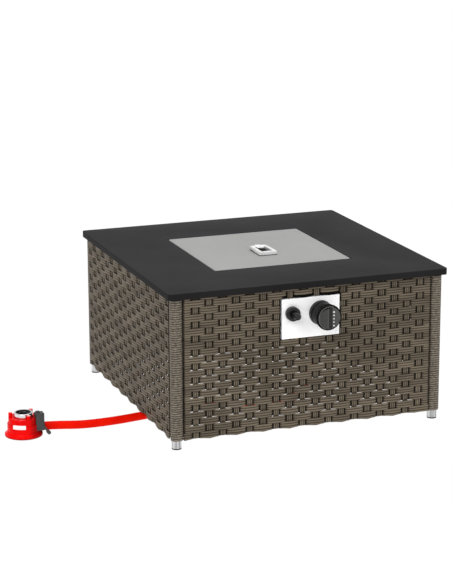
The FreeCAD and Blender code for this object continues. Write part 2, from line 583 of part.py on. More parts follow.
# Pipe, wire and hose follow points in the table's own frame.
s = size
knob_place = s["plate_x"] + s["knob_shift"]
knob_height = s["table_height"] - s["plate_drop"] + s["knob_rise"]
igniter_place = s["plate_x"] - s["igniter_shift"]
igniter_height = s["table_height"] - s["plate_drop"] + s["igniter_rise"]
probe_place = -s["burner_radius"] - s["probe_gap"]
pan_under = s["table_height"] - s["top_depth"] - s["pan_sheet"] - s["pan_depth"]
jet_low = pan_under - s["nut_depth"] - s["mixer_length"] - s["jet_drop"]
valve_front = -s["body_width"] / 2 + s["wicker_depth"] + s["stile_depth"] + s["frame_plate_sheet"]
inlet_place = valve_front + s["inlet_in"]
pipe_start = valve_front + s["valve_depth"] + s["outlet_length"]
pipe_height = knob_height - s["outlet_drop"]
node("supply_pipe", tube_along([
    (knob_place, pipe_start, pipe_height), (knob_place, pipe_start + s["pipe_run"], pipe_height),
    (knob_place, pipe_start + s["pipe_reach"], jet_low - s["pipe_dip"]), (0, 0, jet_low - s["pipe_dip"]),
    (0, 0, jet_low)], s["pipe_radius"]))
wire_low = pan_under - s["probe_tail"]
wire_start = -s["body_width"] / 2 + s["igniter_length"]
node("igniter_wire", tube_along([
    (igniter_place, wire_start, igniter_height), (igniter_place, wire_start + s["wire_run"], igniter_height),
    (igniter_place, wire_start + s["wire_reach"], wire_low - s["wire_dip"]),
    (0, probe_place, wire_low - s["wire_dip"]), (0, probe_place, wire_low)], s["wire_radius"]))
floor_z = s["hose_radius"]
hose_points = [
    (s["reg_x"] + s["hose_start"], s["reg_y"], s["spout_z"]), (-545, s["reg_y"], s["spout_z"]),
    (-497, -108.5, floor_z), (-446, -110.5, floor_z), (-392, -103, floor_z), (-330, -86, floor_z),
    (-250, -70, floor_z), (-130, -52, floor_z), (-10, -138, floor_z),
    (knob_place, inlet_place, 100),
    (knob_place, inlet_place, knob_height - s["inlet_drop"] - s["union_length"])]
print("hose points", hose_points)
node("gas_hose", tube_along(hose_points, s["hose_radius"], "hose"))
node("hose_union", joined([
    rod((knob_x, inlet_y, inlet_low + " - union_length"), "union_radius", "union_length - union_nut"),
    hexagon((knob_x, inlet_y, inlet_low + " - union_nut"), "2 * (union_radius + 1)", "union_nut")]))

# Gas regulator lying on its cover, with the cylinder socket facing up.
node("regulator_cover", joined([
    rod(("reg_x", "reg_y", 0), "reg_flange", "reg_flange_depth"),
    cone(("reg_x", "reg_y", "reg_flange_depth"), "reg_dome", "reg_radius",
         "reg_shoulder - reg_flange_depth")]))
pins = []
for angle in (-80, 40, 160):
    pins.append(rod(("reg_x + pin_circle * cos(%d)" % angle, "reg_y + pin_circle * sin(%d)" % angle,
                     "reg_body_top - pin_sink"), "pin_radius", "pin_top - reg_body_top + pin_sink"))
node("regulator_body", less(
    joined([rod(("reg_x", "reg_y", "reg_shoulder"), "reg_radius", "reg_step - reg_shoulder"),
            rod(("reg_x", "reg_y", "reg_step"), "reg_neck", "reg_body_top - reg_step"),
            rod(("reg_x", "reg_y", "spout_z"), "spout_boss", "spout_face", "x")] + pins),
    [rod(("reg_x", "reg_y", "well_floor"), "lock_radius + well_fit", "reg_body_top")]))
node("regulator_socket", less(
    rod(("reg_x", "reg_y", "well_floor"), "socket_radius", "socket_top - well_floor"),
    [rod(("reg_x", "reg_y", "socket_floor"), "socket_bore", "socket_top")]))
node("regulator_lock_ring", less(
    rod(("reg_x", "reg_y", "lock_low"), "lock_radius", "lock_top - lock_low"),
    [rod(("reg_x", "reg_y", "lock_low"), "socket_radius + lock_fit", "lock_top")]))
node("regulator_outlet", joined([
    rod(("reg_x + spout_face", "reg_y", "spout_z"), "spout_radius", "spout_end - spout_face", "x"),
    rod(("reg_x + spout_end", "reg_y", "spout_z"), "ferrule_radius", "hose_start - spout_end", "x")]))
housing = less(
    joined([box(("switch_x", "switch_y"), "switch_low",
                ("switch_width", "switch_depth", "switch_top - switch_low")),
            rod(("switch_x - stud_shift", "switch_y", "switch_top - pin_sink"), "stud_size", "stud_rise + pin_sink")]),
    [rod(("reg_x", "reg_y", 0), "reg_radius + switch_fit", "reg_step + switch_fit"),
     rod(("reg_x", "reg_y", 0), "reg_neck + switch_fit", "reg_body_top + switch_fit"),
     rod(("reg_x", "reg_y", 0), "lock_radius + collar_clear", "table_height")])
ears = []
for sign in "+-":
    side = "switch_y %s (lever_width / 2 + lever_fit + ear_width / 2)" % sign
    ears.append(rod(("lever_x", side + " - ear_width / 2", "lever_z"), "lever_radius", "ear_width", "y"))
    ears.append(box(("(switch_x + switch_width / 2 + lever_x) / 2", side), "lever_z - lever_radius",
                    ("lever_x - switch_x - switch_width / 2 + ear_lap", "ear_width", "2 * lever_radius")))
node("regulator_switch", less(
    joined([housing] + ears),
    [rod(("lever_x", "switch_y - switch_depth", "lever_z"), "trunnion_radius + run_fit",
         "2 * switch_depth", "y"),
     rod(("lever_x", "switch_y - lever_width / 2 - lever_fit", "lever_z"), "lever_radius + lever_fit",
         "lever_width + 2 * lever_fit", "y")]))
arm = box((0, 0), 0, ("lever_length", "lever_width", "lever_sheet"))
place(arm, ("lever_x - lever_sheet / 2 * sin(lever_tilt)", "switch_y - lever_width / 2",
            "lever_z - lever_sheet / 2 * cos(lever_tilt)"))
arm.Placement.Rotation = FreeCAD.Rotation(vector(0, 1, 0), size["lever_tilt"])
node("regulator_lever", joined([
    rod(("lever_x", "switch_y - lever_width / 2", "lever_z"), "lever_hub", "lever_width", "y"),
    rod(("lever_x", "switch_y - lever_width / 2 - lever_fit - ear_width", "lever_z"), "trunnion_radius",
        "lever_width + 2 * lever_fit + 2 * ear_width", "y"),
    arm,
    rod(("lever_x + lever_length * cos(lever_tilt)", "switch_y - lever_width / 2",
         "lever_z - lever_length * sin(lever_tilt)"), "lever_knob", "lever_width", "y")]))

doc.recompute()
for thing in doc.Objects:
    if "Invalid" in thing.State or "Error" in thing.State:
        raise RuntimeError("%s %s did not recompute" % (thing.Name, thing.Label))
os.makedirs("parts", exist_ok=True)
for thing in nodes:
    shape = thing.Shape
    if shape.isNull() or not shape.isValid() or not shape.Solids:
        raise RuntimeError("%s has no sound solid" % thing.Label)
    shape.exportStep("parts/%s.step" % thing.Label)
    low, high = shape.BoundBox, shape.BoundBox
    print(thing.Label, len(shape.Solids), "x %.1f %.1f y %.1f %.1f z %.1f %.1f" % (
        low.XMin, high.XMax, low.YMin, high.YMax, low.ZMin, high.ZMax))
print(len(nodes), "parts written")
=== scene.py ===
import bpy
import math
from mathutils import Matrix, Vector


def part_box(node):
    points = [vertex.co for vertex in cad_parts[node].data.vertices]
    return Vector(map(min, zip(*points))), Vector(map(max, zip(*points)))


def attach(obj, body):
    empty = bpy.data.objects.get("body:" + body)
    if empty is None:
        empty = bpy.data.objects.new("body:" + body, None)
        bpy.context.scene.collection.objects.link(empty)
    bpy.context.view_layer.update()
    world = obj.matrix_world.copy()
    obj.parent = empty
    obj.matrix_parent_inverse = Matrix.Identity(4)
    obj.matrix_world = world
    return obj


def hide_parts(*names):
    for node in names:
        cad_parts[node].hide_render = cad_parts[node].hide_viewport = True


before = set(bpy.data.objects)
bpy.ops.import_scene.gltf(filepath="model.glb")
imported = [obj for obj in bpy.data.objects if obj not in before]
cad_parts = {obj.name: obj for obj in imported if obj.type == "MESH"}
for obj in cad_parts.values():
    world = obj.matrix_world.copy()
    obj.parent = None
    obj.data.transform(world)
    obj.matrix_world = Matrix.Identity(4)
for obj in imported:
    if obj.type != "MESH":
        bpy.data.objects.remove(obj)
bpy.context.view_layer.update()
scene = bpy.context.scene
scene.view_settings.view_transform = "Standard"

# Camera at the photograph's place. Its lens and sensor are in millimetres. Other lengths are in metres, and
# angles in degrees.
cameraSetup = {"place": (-1.71546, -4.44267, 1.51098), "yaw": 20.170, "pitch": -14.662, "roll": -0.2007,
               "lens": 121.8, "sensor": 36, "farthest": 60}
cameraData = bpy.data.cameras.new("photoCamera")
cameraData.sensor_width = cameraSetup["sensor"]
cameraData.lens = cameraSetup["lens"]
cameraData.clip_end = cameraSetup["farthest"]
camera = bpy.data.objects.new("photoCamera", cameraData)
scene.collection.objects.link(camera)
turn = Matrix.Rotation(math.radians(-cameraSetup["yaw"]), 4, "Z")
turn = turn @ Matrix.Rotation(math.radians(90 + cameraSetup["pitch"]), 4, "X")
turn = turn @ Matrix.Rotation(math.radians(cameraSetup["roll"]), 4, "Z")
camera.matrix_world = Matrix.Translation(cameraSetup["place"]) @ turn
scene.camera = camera
print("camera placed")


def clearSelection():
    if bpy.context.mode != "OBJECT":
        bpy.ops.object.mode_set(mode="OBJECT")
    bpy.ops.object.select_all(action="DESELECT")


def pick(piece):
    clearSelection()
    piece.select_set(True)
    bpy.context.view_layer.objects.active = piece


def settle(piece, name):
    # The place goes into the mesh, so that patterns stay put.
    pick(piece)
    bpy.ops.object.transform_apply(location=True, rotation=True, scale=True)
    piece.name = name
    piece.data.name = name
    return piece


def joinAll(pieces, name):
    clearSelection()
    for piece in pieces:
        piece.select_set(True)
    bpy.context.view_layer.objects.active = pieces[0]
    if len(pieces) > 1:
        bpy.ops.object.join()
    return settle(bpy.context.view_layer.objects.active, name)


def duplicate(piece):
    twin = piece.copy()
    twin.data = piece.data.copy()
    scene.collection.objects.link(twin)
    return twin


def useModifier(piece, kind, **values):
    pick(piece)
    modifier = piece.modifiers.new(kind, kind)
    for key, value in values.items():
        setattr(modifier, key, value)
    bpy.ops.object.modifier_apply(modifier=modifier.name)


def roundEdges(piece, width, segments, sharp):
    # Only edges that bend by more than the angle called sharp are rounded.
    useModifier(piece, "BEVEL", width=width, segments=segments, limit_method="ANGLE",
                angle_limit=math.radians(sharp))


def smooth(piece, angle):
    pick(piece)
    bpy.ops.object.shade_smooth_by_angle(angle=math.radians(angle))
    return piece


def dress(piece, material):
    piece.data.materials.clear()
    piece.data.materials.append(material)
    return piece


# Edges that bend by less than these angles are shaded smooth, on round pieces and on softened solids.
roundAngle, solidAngle = 60, 40
# The colour sockets of a Mix node go by number.
mixFirst, mixSecond, mixResult = 6, 7, 2
white = (1, 1, 1, 1)


def srgb(red, green, blue):
    # A colour given by its screen values, 0 to 255.
    def linear(value):
        value /= 255
        return value / 12.92 if value <= 0.04045 else ((value + 0.055) / 1.055) ** 2.4
    return (linear(red), linear(green), linear(blue), 1)


def makeGrainGroup():
    # Two noises: a soft one for tone and a fine one for roughness and height.
    group = bpy.data.node_groups.new("surfaceGrain", "ShaderNodeTree")
    sockets = {"INPUT": {"Vector": "Vector", "Light": "Color", "Dark": "Color", "Tone Scale": "Float",
                         "Fine Scale": "Float", "Rough Low": "Float", "Rough High": "Float"},
               "OUTPUT": {"Color": "Color", "Roughness": "Float", "Height": "Float"}}
    for way, kinds in sockets.items():
        for socketName, kind in kinds.items():
            group.interface.new_socket(name=socketName, in_out=way, socket_type="NodeSocket" + kind)
    nodes, links = group.nodes, group.links
    given = nodes.new("NodeGroupInput")
    result = nodes.new("NodeGroupOutput")
    tone = nodes.new("ShaderNodeTexNoise")
    fine = nodes.new("ShaderNodeTexNoise")
    mix = nodes.new("ShaderNodeMix")
    mix.data_type = "RGBA"
    spread = nodes.new("ShaderNodeMapRange")
    rough = nodes.new("ShaderNodeMapRange")
    for noise, scale, stretched in ((tone, "Tone Scale", spread), (fine, "Fine Scale", rough)):
        # Most of the noise lies between these two values.
        stretched.inputs["From Min"].default_value = 0.3
        stretched.inputs["From Max"].default_value = 0.7
        links.new(given.outputs["Vector"], noise.inputs["Vector"])
        links.new(given.outputs[scale], noise.inputs["Scale"])
        links.new(noise.outputs["Fac"], stretched.inputs["Value"])
    links.new(spread.outputs["Result"], mix.inputs["Factor"])
    links.new(given.outputs["Dark"], mix.inputs[mixFirst])
    links.new(given.outputs["Light"], mix.inputs[mixSecond])
    links.new(given.outputs["Rough Low"], rough.inputs["To Min"])
    links.new(given.outputs["Rough High"], rough.inputs["To Max"])
    links.new(mix.outputs[mixResult], result.inputs["Color"])
    links.new(rough.outputs["Result"], result.inputs["Roughness"])
    links.new(fine.outputs["Fac"], result.inputs["Height"])
    return group


grainGroup = makeGrainGroup()


def newMaterial(name, light, dark, toneScale, fineScale, rough, metallic=0.0, bump=0.1, bumpDepth=0.0002,
                # paintedShadeColor is the colour that the "shade" attribute paints in as shade.
                stretch=(1, 1, 1), specular=0.5, paintedShadeColor=None):
    material = bpy.data.materials.new(name)
    material.use_nodes = True
    nodes, links = material.node_tree.nodes, material.node_tree.links
    shader = nodes["Principled BSDF"]
    place = nodes.new("ShaderNodeTexCoord")
    mapping = nodes.new("ShaderNodeMapping")
    mapping.inputs["Scale"].default_value = stretch
    grain = nodes.new("ShaderNodeGroup")
    grain.node_tree = grainGroup
    for socketName, value in (("Light", light), ("Dark", dark), ("Tone Scale", toneScale),
                              ("Fine Scale", fineScale), ("Rough Low", rough[0]), ("Rough High", rough[1])):
        grain.inputs[socketName].default_value = value
    raised = nodes.new("ShaderNodeBump")
    raised.inputs["Strength"].default_value = bump
    raised.inputs["Distance"].default_value = bumpDepth
    links.new(place.outputs["Object"], mapping.inputs["Vector"])
    links.new(mapping.outputs["Vector"], grain.inputs["Vector"])
    color, roughness = grain.outputs["Color"], grain.outputs["Roughness"]
    if paintedShadeColor:
        # The "shade" attribute of a piece says where painted shade makes its surface dark and dull.
        shade = nodes.new("ShaderNodeAttribute")
        shade.attribute_name = "shade"
        blend = nodes.new("ShaderNodeMix")
        blend.data_type = "RGBA"
        blend.inputs[mixSecond].default_value = paintedShadeColor
        links.new(shade.outputs["Fac"], blend.inputs["Factor"])
        links.new(color, blend.inputs[mixFirst])
        dull = nodes.new("ShaderNodeMath")
        dull.operation = "MAXIMUM"
        links.new(shade.outputs["Fac"], dull.inputs[0])
        links.new(roughness, dull.inputs[1])
        color, roughness = blend.outputs[mixResult], dull.outputs[0]
    links.new(color, shader.inputs["Base Color"])
    links.new(roughness, shader.inputs["Roughness"])
    links.new(grain.outputs["Height"], raised.inputs["Height"])
    links.new(raised.outputs["Normal"], shader.inputs["Normal"])
    shader.inputs["Metallic"].default_value = metallic
    shader.inputs["Specular IOR Level"].default_value = specular
    return material


def cordMaterial(name, stretch):
    # Streaks run along each strand, so each direction has its own stretch.
    # The cords take a near-black painted shade in their grooves and where they dip out of sight.
    return newMaterial(name, srgb(121, 110, 94), srgb(90, 81, 69), toneScale=60, fineScale=500,
                       rough=(0.35, 0.6), bump=0.35, bumpDepth=0.0004, stretch=stretch, specular=0.1,
                       paintedShadeColor=srgb(9, 7, 6))


def plastic(name, light, dark, rough, specular, bump=0.2):
    return newMaterial(name, light, dark, toneScale=40, fineScale=900, rough=rough, bump=bump,
                       specular=specular)


# Each finish has its own light and dark tone, roughness and height.
finish = {
    "cordX": cordMaterial("cordAlongX", (0.12, 1, 1)),
    "cordY": cordMaterial("cordAlongY", (1, 0.12, 1)),
    "cordZ": cordMaterial("cordAlongZ", (1, 1, 0.12)),
    "postCord": newMaterial("postCord", srgb(143, 132, 115), srgb(90, 81, 70), toneScale=170, fineScale=500,
                            rough=(0.3, 0.5), bump=0.35, bumpDepth=0.0004, specular=0.35,
                            paintedShadeColor=srgb(14, 12, 10)),
    "slab": newMaterial("powderCoatTop", srgb(46, 46, 47), srgb(41, 41, 42), toneScale=6, fineScale=900,
                        rough=(0.5, 0.65), bump=0.25, specular=0.03),
    # A darker copy of the slab's paint, as painted shade on its edges.
    "slabEdgeShade": newMaterial("powderCoatEdgeShade", srgb(36, 35, 35), srgb(31, 30, 30), toneScale=6, fineScale=900,
                            rough=(0.5, 0.65), bump=0.25, specular=0.03),
    "blackSteel": newMaterial("blackSteel", srgb(34, 34, 35), srgb(24, 24, 25), toneScale=15, fineScale=700,
                              rough=(0.5, 0.7), bump=0.2, specular=0.2),
    "lidGrey": newMaterial("lidGrey", srgb(149, 149, 148), srgb(144, 144, 143), toneScale=5, fineScale=800,
                           rough=(0.4, 0.55), bumpDepth=0.0001, specular=0.15),
    "bright": newMaterial("brightPlate", srgb(232, 232, 232), srgb(205, 205, 205), toneScale=40, fineScale=600,
                          rough=(0.15, 0.3), metallic=1.0, bump=0.05),
    "whitePlate": newMaterial("whitePlate", srgb(254, 254, 254), srgb(250, 250, 250), toneScale=20,
                              fineScale=600, rough=(0.35, 0.5), bump=0.05, specular=0.2),
    "blackPad": newMaterial("blackPad", srgb(20, 20, 20), srgb(12, 12, 12), toneScale=60, fineScale=900,
                            rough=(0.6, 0.8), bump=0.3, specular=0.15),
    # The knob's side, rim and grip finishes are shaded and lit copies of its face: painted shade and painted
    # highlight.
    "knobFace": plastic("knobFace", srgb(72, 72, 71), srgb(62, 62, 61), (0.4, 0.55), specular=0.3),
    "knobSide": plastic("knobSide", srgb(13, 13, 13), srgb(10, 10, 10), (0.4, 0.55), specular=0.06),
    "knobRim": plastic("knobRim", srgb(120, 120, 118), srgb(104, 104, 102), (0.3, 0.45), specular=0.4,
                       bump=0.1),
    "gripDark": plastic("gripDark", srgb(34, 34, 34), srgb(28, 28, 28), (0.4, 0.55), specular=0.15),
    "socketDark": newMaterial("socketDark", srgb(96, 96, 97), srgb(40, 40, 41), toneScale=120, fineScale=700,
                              rough=(0.2, 0.35), metallic=1.0, bump=0.05),
    "gripLight": plastic("gripLight", srgb(58, 58, 57), srgb(48, 48, 47), (0.35, 0.5), specular=0.3),
    "igniterBlack": plastic("igniterBlack", srgb(26, 26, 27), srgb(19, 19, 20), (0.3, 0.42), specular=0.35),
    "bezelBlack": plastic("bezelBlack", srgb(54, 54, 54), srgb(44, 44, 44), (0.35, 0.5), specular=0.3),
    "markWhite": newMaterial("markWhite", srgb(245, 245, 245), srgb(228, 228, 228), toneScale=200,
                             fineScale=900, rough=(0.5, 0.6)),
    "brass": newMaterial("brass", srgb(205, 170, 95), srgb(170, 135, 70), toneScale=60, fineScale=600,
                         rough=(0.25, 0.4), metallic=1.0),
    "plainSteel": newMaterial("plainSteel", srgb(175, 175, 178), srgb(140, 140, 143), toneScale=60,
                              fineScale=500, rough=(0.3, 0.45), metallic=1.0),
    "ceramic": newMaterial("ceramic", srgb(238, 232, 222), srgb(222, 214, 200), toneScale=60, fineScale=500,
                           rough=(0.15, 0.3)),
    "hose": newMaterial("hoseRubber", srgb(240, 24, 2), srgb(228, 17, 2), toneScale=30, fineScale=900,
                        rough=(0.4, 0.55), bump=0.15, specular=0.03),
    "red": newMaterial("regulatorRed", srgb(243, 4, 4), srgb(228, 3, 3), toneScale=30, fineScale=700,
                       rough=(0.25, 0.4), specular=0.06, paintedShadeColor=srgb(92, 0, 2)),
    "deepRed": newMaterial("deepRed", srgb(130, 4, 5), srgb(96, 3, 4), toneScale=30, fineScale=700,
                           rough=(0.4, 0.6), specular=0.1),
    "pinTip": newMaterial("pinTip", srgb(250, 190, 185), srgb(235, 140, 135), toneScale=90, fineScale=700,
                          rough=(0.3, 0.45)),
    "handleSteel": newMaterial("handleSteel", srgb(252, 252, 252), srgb(238, 238, 238), toneScale=60,
                               fineScale=600, rough=(0.12, 0.25), metallic=0.55, bump=0.05),
    "chrome": newMaterial("chrome", srgb(236, 236, 238), srgb(214, 214, 216), toneScale=40, fineScale=600,
                          rough=(0.08, 0.18), metallic=1.0, bump=0.03),
    "footSteel": newMaterial("footSteel", srgb(232, 232, 232), srgb(150, 150, 150), toneScale=170,
                             fineScale=600, rough=(0.12, 0.25), metallic=1.0, bump=0.03,
                             stretch=(1, 1, 0.05)),
    "switchGrey": newMaterial("switchGrey", srgb(66, 67, 66), srgb(50, 51, 50), toneScale=60, fineScale=800,
                              rough=(0.4, 0.6), bump=0.2, specular=0.3),
    "label": newMaterial("blankLabel", srgb(246, 240, 240), srgb(236, 228, 228), toneScale=40, fineScale=700,
                         rough=(0.35, 0.5)),
    "floor": newMaterial("paleFloor", (0.02, 0.02, 0.02, 1), (0.01, 0.01, 0.01, 1), toneScale=2, fineScale=30,
                         rough=(0.8, 0.9), bump=0.02, specular=0.0),
}
print("materials made:", len(finish))

# Floor and soft lights.
stageSetup = {"floorSize": 60, "floorGlow": 1.0, "skyGlow": 0.75, "lampsAim": (0, 0, 0.2)}
clearSelection()
bpy.ops.mesh.primitive_plane_add(size=stageSetup["floorSize"], location=(0, 0, 0))
floor = settle(bpy.context.object, "paleFloor")
dress(floor, finish["floor"])
floorShader = finish["floor"].node_tree.nodes["Principled BSDF"]
floorShader.inputs["Emission Color"].default_value = white
floorShader.inputs["Emission Strength"].default_value = stageSetup["floorGlow"]
world = bpy.data.worlds.new("softWorld")
scene.world = world
world.use_nodes = True
sky = world.node_tree.nodes["Background"]
sky.inputs["Color"].default_value = white
sky.inputs["Strength"].default_value = stageSetup["skyGlow"]
lamps = {
    "keyLamp": {"place": (-3.2, -3.4, 3.6), "size": 2.6, "power": 110},
    "fillLamp": {"place": (3.4, -3.0, 2.6), "size": 3.0, "power": 40},
    "topLamp": {"place": (0.0, 0.4, 4.2), "size": 3.0, "power": 60},
}
for lampName, setup in lamps.items():
    lampData = bpy.data.lights.new(lampName, "AREA")
    lampData.size = setup["size"]
    lampData.energy = setup["power"]
    lamp = bpy.data.objects.new(lampName, lampData)
    scene.collection.objects.link(lamp)
    lamp.location = setup["place"]
    lamp.rotation_mode = "QUATERNION"
    aim = Vector(stageSetup["lampsAim"]) - Vector(setup["place"])
    lamp.rotation_quaternion = aim.to_track_quat("-Z", "Y")
print("floor and lamps set")

# The gas hose, from the regulator to the tap.
hoseSetup = {"radius": 0.010, "length": 0.902, "points": [
    (-0.583, -0.1025, 0.016), (-0.549, -0.1030, 0.0142), (-0.497, -0.1085, 0.010), (-0.446, -0.1105, 0.010),
    (-0.392, -0.106, 0.010), (-0.330, -0.094, 0.010), (-0.250, -0.080, 0.010), (-0.130, -0.062, 0.010),
    (-0.010, -0.138, 0.010), (0.026, -0.300, 0.100), (0.026, -0.300, 0.232)]}
hoseCurve = bpy.data.curves.new("gasHose", "CURVE")
hoseCurve.dimensions = "3D"
hoseCurve.bevel_depth = hoseSetup["radius"]
hoseCurve.bevel_resolution = 8
hoseCurve.resolution_u = 16
hoseCurve.use_fill_caps = True
line = hoseCurve.splines.new("NURBS")
line.points.add(len(hoseSetup["points"]) - 1)
for point, spot in zip(line.points, hoseSetup["points"]):
    point.co = (*spot, 1)
line.order_u = 3
line.use_endpoint_u = True
hose = bpy.data.objects.new("gasHose", hoseCurve)
scene.collection.objects.link(hose)
hose.data.materials.append(finish["hose"])
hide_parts("gas_hose")
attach(hose, "table")
print("hose laid")

# Woven panels: flat stakes, and bands of three cords that pass over and under them. Along a band, bowEnd,
# dive, pastEdge, swellEnd, narrowStart, narrowEnd and weftStops are distances from the nearest stake that the
# band runs over, counted in stakes.
weave = {"rowPitch": 0.01665, "rowStart": 0.0220, "rows": 21, "stakes": 18, "face": 0.342,
         "cordWidth": 0.0060, "weftThick": 0.0022, "frontDepth": 0.0004, "backDepth": 0.0084,
         "bow": 0.0016, "bowEnd": 0.56, "dive": (0.59, 0.79), "pastEdge": 0.4,
         "swell": 0.07, "swellEnd": 0.45, "narrowing": 0.11, "narrowStart": (0, 0.5), "narrowEnd": (0.6, 0.8),
         "edgeMargin": 0.0018, "curl": ((-0.0006, 0.0085), (-0.0006, 0.0030)), "footReach": 0.0027,
         "edgeDark": (0.0016, 0.0042), "gapAbove": 0.0064,
         "stakeWidth": 0.0134, "stakeThick": 0.003, "stakeDepth": 0.00475, "stakeSwing": 0.0007,
         "low": 0.0237, "high": 0.3602, "tuckShade": 0.6, "tuckReach": 0.14, "stakeRim": (0.0022, 0.0008)}
weftStops = (0, 0.25, 0.45, 0.59, 0.65, 0.71, 0.79, 1)
# dip says at which depths a band's painted shade comes on and goes off again, and edgeShade how much painted
# shade the stakes' edges get.
frontPanel = {"stakePitch": 0.0333, "half": 0.3105, "hooked": 1, "cord": "cordX",
              "dip": (0.0022, 0.0038, 0.0064, 0.0080), "edgeShade": 0.0}
sidePanel = {"stakePitch": 0.0362, "half": 0.3178, "hooked": 0, "cord": "cordY",
             "dip": (0.0021, 0.0034, 0.0090, 0.0100), "edgeShade": 1.0}
opening = {"left": -0.0747, "right": 0.0753, "firstRow": 13, "lastRow": 18}
groove = {"depth": 0.0009, "shade": 0.95, "reach": 0.31, "roundness": 0.6, "backWidth": 0.97,
          "steps": (0, 0.14, 0.32, 0.5, 0.68, 0.86)}


def ribProfile(name, width, thick, ribs, depth=groove["depth"]):
    # A flat band of rounded cords. X is the thickness and Y the width.
    rib = width / ribs
    outline = [(thick / 2 - depth * (1 - math.sin(math.pi * step) ** groove["roundness"]),
                -width / 2 + rib * (i + step)) for i in range(ribs) for step in groove["steps"]]
    outline.append((thick / 2 - depth, width / 2))
    outline.append((-thick / 2, width / 2 * groove["backWidth"]))
    outline.append((-thick / 2, -width / 2 * groove["backWidth"]))
    curve = bpy.data.curves.new(name, "CURVE")
    curve.dimensions = "2D"
    spline = curve.splines.new("POLY")
    spline.points.add(len(outline) - 1)
    for point, (x, y) in zip(spline.points, outline):
        point.co = (x, y, 0, 1)
    spline.use_cyclic_u = True
    profile = bpy.data.objects.new(name, curve)
    scene.collection.objects.link(profile)
    return profile


def soften(value, low, high):
    # Rises smoothly from 0 at low to 1 at high.
    value = min(1, max(0, (value - low) / (high - low)))
    return value * value * (3 - 2 * value)


def grooveShade(across, width, ribs, reach=groove["reach"]):
    # Painted shade in the groove between two cords, and 0 on their crests.
    part = (across / width + 0.5) * ribs
    part = abs(part - round(part))
    return groove["shade"] * max(0, 1 - part / reach)


def markShade(piece, rule):
    # rule gives the painted shade of each vertex, for the materials that take a painted shade colour.
    layer = piece.data.attributes.new("shade", "FLOAT", "POINT")
    layer.data.foreach_set("value", [min(1, rule(vertex.co)) for vertex in piece.data.vertices])
    return piece


def sweep(name, points, profile, closed=False, sizes=None):
    # A poly line carries the profile and then becomes a mesh.
    curve = bpy.data.curves.new(name, "CURVE")
    curve.dimensions = "3D"
    curve.twist_mode = "Z_UP"
    curve.bevel_mode = "OBJECT"
    curve.bevel_object = profile
    curve.use_fill_caps = not closed
    spline = curve.splines.new("POLY")
    spline.points.add(len(points) - 1)
    for point, spot in zip(spline.points, points):
        point.co = (*spot, 1)
    if sizes:
        spline.points.foreach_set("radius", sizes)
    spline.use_cyclic_u = closed
    strand = bpy.data.objects.new(name, curve)
    scene.collection.objects.link(strand)
    pick(strand)
    bpy.ops.object.convert(target="MESH")
    return bpy.context.view_layer.objects.active


ribs = {count: ribProfile("rib%d" % count, weave["cordWidth"] * count, weave["weftThick"], count)
        for count in (1, 3)}
stakeRibs = ribProfile("stakeRibs", weave["stakeWidth"], weave["stakeThick"], 3)


def weftDive(along, stakes, row):
    # 0 where the row runs in front and 1 where it runs behind, and the distance from the stake in front of
    # which it runs.
    place = (along - stakes[0]) / (stakes[1] - stakes[0])
    last = len(stakes) - 1
    front = 0 if row % 2 else 1
    if (place < 0 and front == 0) or (place > last and last % 2 == front):
        return 0, weave["pastEdge"]
    away = abs(place - front - 2 * round((place - front) / 2))
    return soften(away, *weave["dive"]), away


def weftPoints(start, end, stakes, row, hooks):
    # hooks says which ends turn round an edge of the panel.
    pitch = stakes[1] - stakes[0]
    start, end = start + weave["edgeMargin"] * hooks[0], end - weave["edgeMargin"] * hooks[1]
    spots = {start, end}
    for inset in weave["edgeDark"]:
        spots.update([start + inset] * hooks[0] + [end - inset] * hooks[1])
    for k in range(-1, len(stakes) + 1):
        if (k % 2 == 0) == bool(row % 2):
            for stop in weftStops:
                spots.add(round(stakes[0] + pitch * (k - stop), 6))
                spots.add(round(stakes[0] + pitch * (k + stop), 6))
    points, sizes = [], []
    for along in sorted(spot for spot in spots if start <= spot <= end):
        dive, away = weftDive(along, stakes, row)
        depth = weave["frontDepth"] + weave["bow"] * min(1, away / weave["bowEnd"]) ** 2
        depth += dive * (weave["backDepth"] - depth)
        points.append((along, depth - weave["face"], 0))
        swell = weave["swell"] * (1 - soften(away, 0, weave["swellEnd"]))
        narrow = weave["narrowing"] * soften(away, *weave["narrowStart"])
        sizes.append(1 + swell - narrow * (1 - soften(away, *weave["narrowEnd"])))
    if hooks[0]:
        points = [(start + inset, depth - weave["face"], 0) for inset, depth in weave["curl"]] + points
        sizes = [sizes[0]] * len(weave["curl"]) + sizes
    if hooks[1]:
        points += [(end - inset, depth - weave["face"], 0) for inset, depth in reversed(weave["curl"])]
        sizes += [sizes[-1]] * len(weave["curl"])
    return points, sizes


def weftShade(width, count, edges, dip, gap):
    # Painted shade where a row dips, where it turns round an edge, and along the gap above the opening.
    def rule(co):
        depth = co.y + weave["face"]
        shade = soften(depth, dip[0], dip[1]) * (1 - soften(depth, dip[2], dip[3]))
        for edge in edges:
            shade = max(shade, 1 - soften(abs(co.x - edge), *weave["edgeDark"]))
        if gap and gap["left"] < co.x < gap["right"] and co.z < weave["gapAbove"] - width / 2:
            shade = 1
        return max(shade, grooveShade(co.z, width, count))
    return rule


def stakeShade(edgeShade):
    # Painted shade in the grooves and where a row tucks over the stake, and by edgeShade at both edges.
    rimStart, rimEnd = (weave["stakeWidth"] / 2 - inset for inset in weave["stakeRim"])

    def rule(co):
        row = (co.x - weave["rowStart"]) / weave["rowPitch"]
        tuck = weave["tuckShade"] * max(0, 1 - abs(row - round(row)) / weave["tuckReach"])
        edge = edgeShade * soften(abs(co.z), rimStart, rimEnd)
        return max(tuck, edge, grooveShade(co.z, weave["stakeWidth"], 3))
    return rule


def rowHeight(row):
    return weave["rowStart"] + weave["rowPitch"] * row


